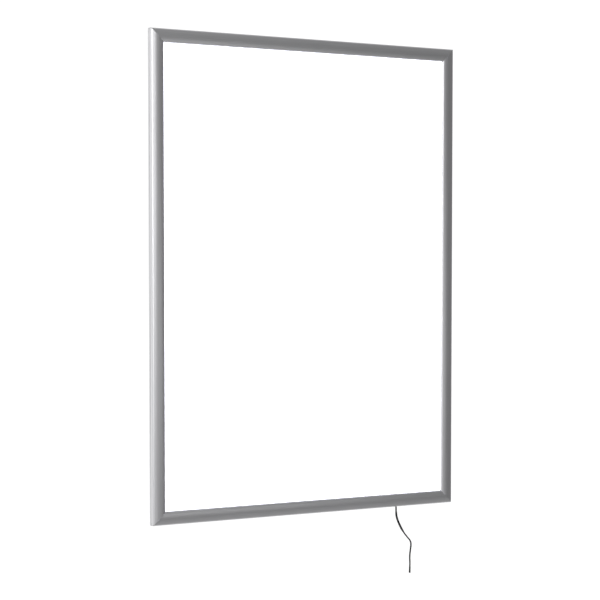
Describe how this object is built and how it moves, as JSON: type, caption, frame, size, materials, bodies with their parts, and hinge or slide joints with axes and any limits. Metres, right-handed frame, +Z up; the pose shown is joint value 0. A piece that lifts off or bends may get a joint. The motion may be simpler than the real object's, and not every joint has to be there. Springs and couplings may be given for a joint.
{
  "type": "wall-hung led light panel",
  "caption": "Slim wall-hung edge-lit light panel with a mitred silver snap frame whose rails hinge open, and a short low-voltage lead.",
  "frame": {"origin": "centre of the wall-screw pattern in the wall plane, at the middle of the panel", "axes": "+Z up, +Y into the wall, +X to the right for someone looking at the lit face"},
  "size_m": [0.624, 0.017, 1.0017],
  "materials": {
    "anodised_face": "satin silver anodised, fine lengthwise extrusion lines",
    "anodised_base": "satin silver anodised",
    "spring_steel": "bare spring steel",
    "plated_steel": "zinc plated",
    "contact_metal": "plain",
    "zinc_key": "zinc die casting, matt",
    "led_board": "white solder mask",
    "led_chip": "phosphor behind clear resin",
    "foil_tape": "bright foil",
    "wire_insulation": "silicone insulation",
    "back_panel": "grey rigid sheet",
    "reflector_film": "white film",
    "light_guide": "clear polished acrylic",
    "diffuser": "opal acrylic, evenly lit",
    "cover_sheet": "clear film with a soft gloss",
    "foam_pad": "closed-cell foam",
    "block_plastic": "white nylon",
    "cord_rubber": "matt black",
    "cord_jacket": "black PVC",
    "connector_plastic": "black nylon"
  },
  "bodies": {
    "panel": {"back_panel": "back_panel", "base_rail_bottom": "anodised_base", "base_rail_left": "anodised_base", "base_rail_right": "anodised_base", "base_rail_top": "anodised_base", "cord_connector": "connector_plastic", "cord_contacts": "contact_metal", "corner_key_bottom_left": "zinc_key", "corner_key_bottom_right": "zinc_key", "corner_key_screws": "plated_steel", "corner_key_top_left": "zinc_key", "corner_key_top_right": "zinc_key", "cover_sheet": "cover_sheet", "diffuser": "diffuser", "edge_tape_bottom": "foil_tape", "edge_tape_top": "foil_tape", "feed_wire_left": "wire_insulation", "feed_wire_right": "wire_insulation", "grommet": "cord_rubber", "guide_support_pads": "foam_pad", "leaf_springs_bottom": "spring_steel", "leaf_springs_left": "spring_steel", "leaf_springs_right": "spring_steel", "leaf_springs_top": "spring_steel", "led_board_left": "led_board", "led_board_right": "led_board", "led_row_left": "led_chip", "led_row_right": "led_chip", "light_guide": "light_guide", "power_cord": "cord_jacket", "reflector_film": "reflector_film", "terminal_block": "block_plastic"},
    "snap_bottom": {"snap_rail_bottom": "anodised_face"},
    "snap_left": {"snap_rail_left": "anodised_face"},
    "snap_top": {"snap_rail_top": "anodised_face"},
    "snap_right": {"snap_rail_right": "anodised_face"}
  },
  "joints": [
    {"name": "snap_bottom_hinge", "type": "hinge", "parent": "panel", "child": "snap_bottom", "pos_m": [0, -0.007, -0.434], "axis": [1, 0, 0], "range_deg": [0, 90], "deforming": ["leaf_springs_bottom"]},
    {"name": "snap_left_hinge", "type": "hinge", "parent": "panel", "child": "snap_left", "pos_m": [-0.3105, -0.007, 0], "axis": [0, 0, -1], "range_deg": [0, 90], "deforming": ["leaf_springs_left"]},
    {"name": "snap_top_hinge", "type": "hinge", "parent": "panel", "child": "snap_top", "pos_m": [0, -0.007, 0.434], "axis": [-1, 0, 0], "range_deg": [0, 90], "deforming": ["leaf_springs_top"]},
    {"name": "snap_right_hinge", "type": "hinge", "parent": "panel", "child": "snap_right", "pos_m": [0.3105, -0.007, 0], "axis": [0, 0, 1], "range_deg": [0, 90], "deforming": ["leaf_springs_right"]}
  ]
}
